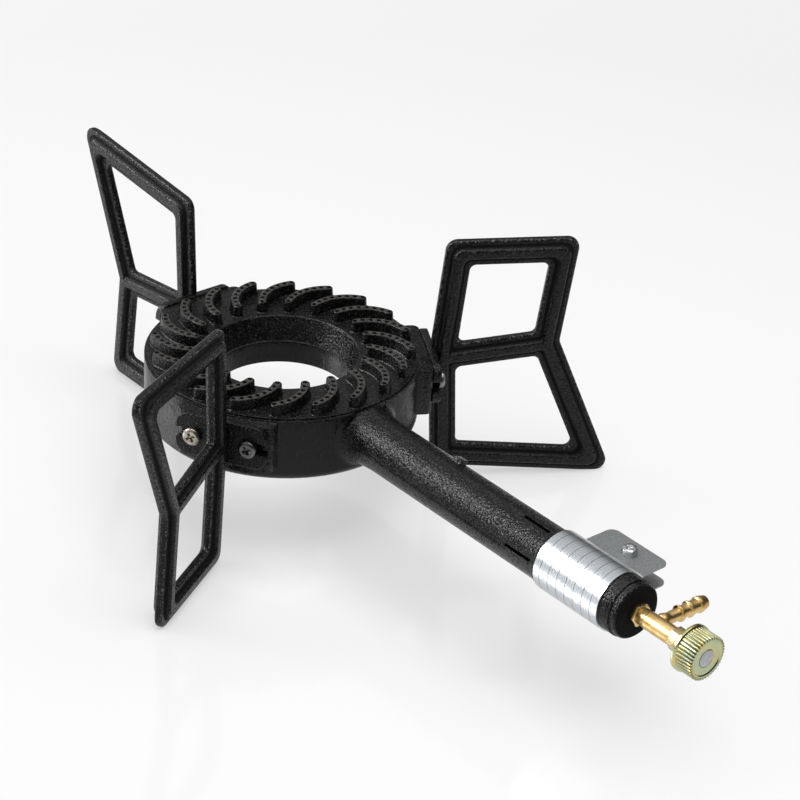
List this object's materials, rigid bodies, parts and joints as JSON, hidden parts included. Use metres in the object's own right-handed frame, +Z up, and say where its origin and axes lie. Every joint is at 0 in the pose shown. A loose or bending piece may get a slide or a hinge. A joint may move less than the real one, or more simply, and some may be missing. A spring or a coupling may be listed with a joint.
{
  "type": "gas burner",
  "caption": "Cast ring gas burner with curved port ribs, bolted pot-rest legs, a mixing tube with a sliding air band, and a brass needle valve with fluted knob and ridged hose tail.",
  "frame": {"origin": "centre of the plan box on the floor that the legs stand on", "axes": "+Z up, +Y from the knob towards the rear leg, +X to the side of the hose tail"},
  "size_m": [0.3546, 0.5562, 0.16],
  "materials": {
    "base_iron": "black painted sand casting",
    "cover_iron": "black painted sand casting",
    "leg_iron": "black painted sand casting",
    "screw_steel": "zinc plated, dulled",
    "band_sheet": "bright zinc sheet",
    "zinc_hardware": "bright zinc plated",
    "pale_brass": "polished",
    "brass": "polished",
    "packing": "graphited fibre",
    "spindle_steel": "turned",
    "knob_metal": "yellow passivated zinc",
    "disc_metal": "matt"
  },
  "bodies": {
    "burner": {"burner_base": "base_iron", "burner_cover": "cover_iron", "leg_rear": "leg_iron", "leg_right": "leg_iron", "leg_left": "leg_iron", "rear_leg_screws": "screw_steel", "right_leg_screws": "screw_steel", "left_leg_screws": "screw_steel", "lock_nut": "pale_brass", "valve_body": "brass", "injector_jet": "brass", "hose_tail": "brass", "gland_nut": "pale_brass", "stem_packing": "packing", "packing_ring": "brass"},
    "band": {"air_band": "band_sheet", "clamp_bolt": "zinc_hardware", "clamp_nut": "zinc_hardware"},
    "stem": {"spindle": "spindle_steel"},
    "handwheel": {"knob": "knob_metal", "knob_disc": "disc_metal"}
  },
  "joints": [
    {"name": "air_band_slide", "type": "slide", "parent": "burner", "child": "band", "axis": [0, 1, 0], "range_m": [0, 0.026]},
    {"name": "spindle_travel", "type": "slide", "parent": "burner", "child": "stem", "axis": [0, -1, 0], "range_m": [0, 0.002]},
    {"name": "knob_turn", "type": "hinge", "parent": "stem", "child": "handwheel", "pos_m": [0, -0.2716, 0.0723], "axis": [0, -1, 0], "range_deg": [0, 722]}
  ],
  "couplings": [
    {"joint": "knob_turn", "follows": "spindle_travel", "rad_per_m": 6283.2}
  ]
}
